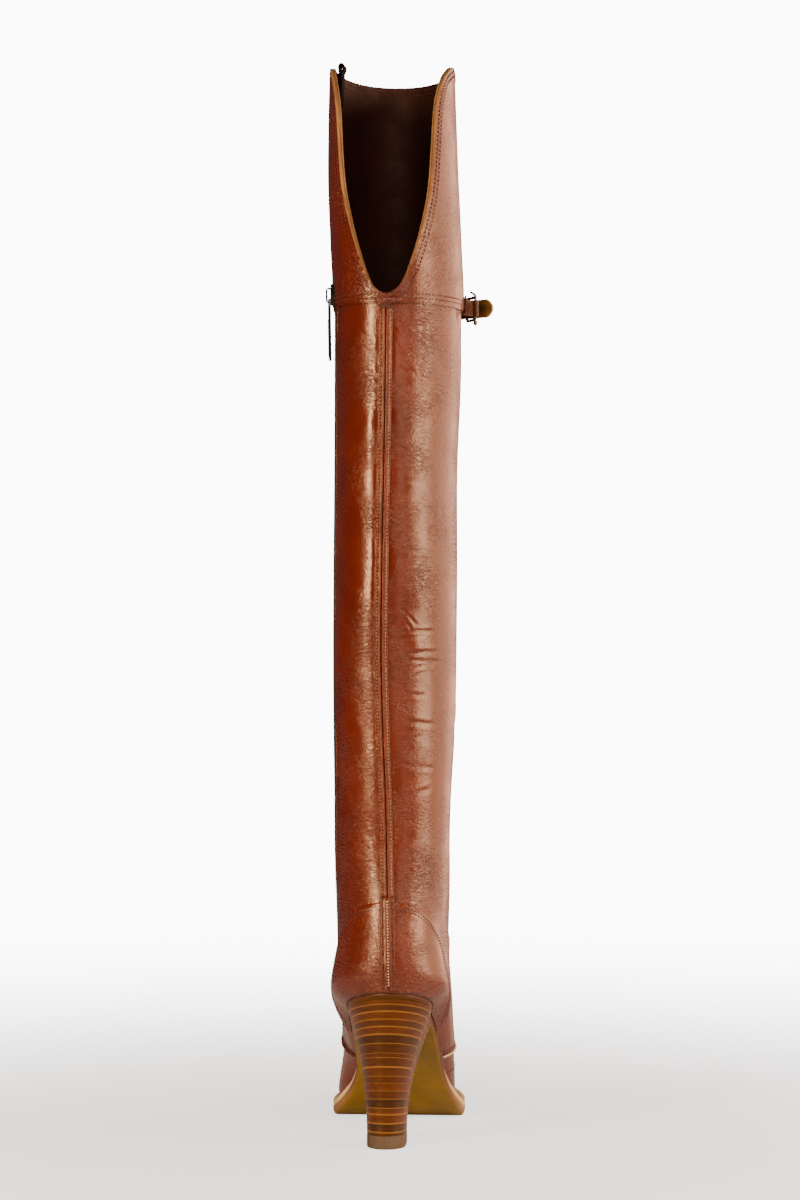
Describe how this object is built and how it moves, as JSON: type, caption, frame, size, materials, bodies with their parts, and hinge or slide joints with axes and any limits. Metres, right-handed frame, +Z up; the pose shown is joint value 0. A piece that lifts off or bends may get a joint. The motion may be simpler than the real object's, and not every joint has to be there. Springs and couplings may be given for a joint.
{
  "type": "over-the-knee boot",
  "caption": "Over-the-knee leather boot for the right foot with a stacked heel, a notched cuff, a side zip and a buckled strap round the knee.",
  "frame": {"origin": "middle of the heel's tread, on the floor", "axes": "+Z up the leg, +Y to the toe, +X to the outer side of the right foot"},
  "size_m": [0.1059, 0.2488, 0.6595],
  "materials": {
    "rubber": "matt taupe-grey heel tread",
    "stack": "stacked and waxed golden brown leather lifts",
    "sole": "smooth ochre leather with a tan edge",
    "welt": "natural cream leather with light stitches",
    "insole": "matt lining leather",
    "upper": "glossy cognac leather with fine grain",
    "zip_tape": "black woven tape with dark teeth",
    "dark_metal": "blackened metal, satin",
    "strap": "dark brown leather, satin",
    "bronze": "aged dark bronze, satin",
    "loop_tape": "brown woven tape"
  },
  "bodies": {
    "boot": {"top_lift": "rubber", "heel_stack": "stack", "outsole": "sole", "welt": "welt", "insole": "insole", "upper": "upper", "cuff": "upper", "counter": "upper", "back_seam": "upper", "zip": "zip_tape", "zip_slider": "dark_metal", "knee_strap": "strap", "buckle_frame": "bronze", "buckle_prong": "bronze", "buckle_chape": "strap", "pull_loop": "loop_tape"},
    "pull_tab": {"zip_pull": "dark_metal"}
  },
  "joints": [
    {"name": "pull_tab_hinge", "type": "hinge", "parent": "boot", "child": "pull_tab", "pos_m": [-0.03442, -0.00222, 0.51134], "axis": [-0.1637, 0.9864, -0.0179], "range_deg": [0, 120]}
  ]
}
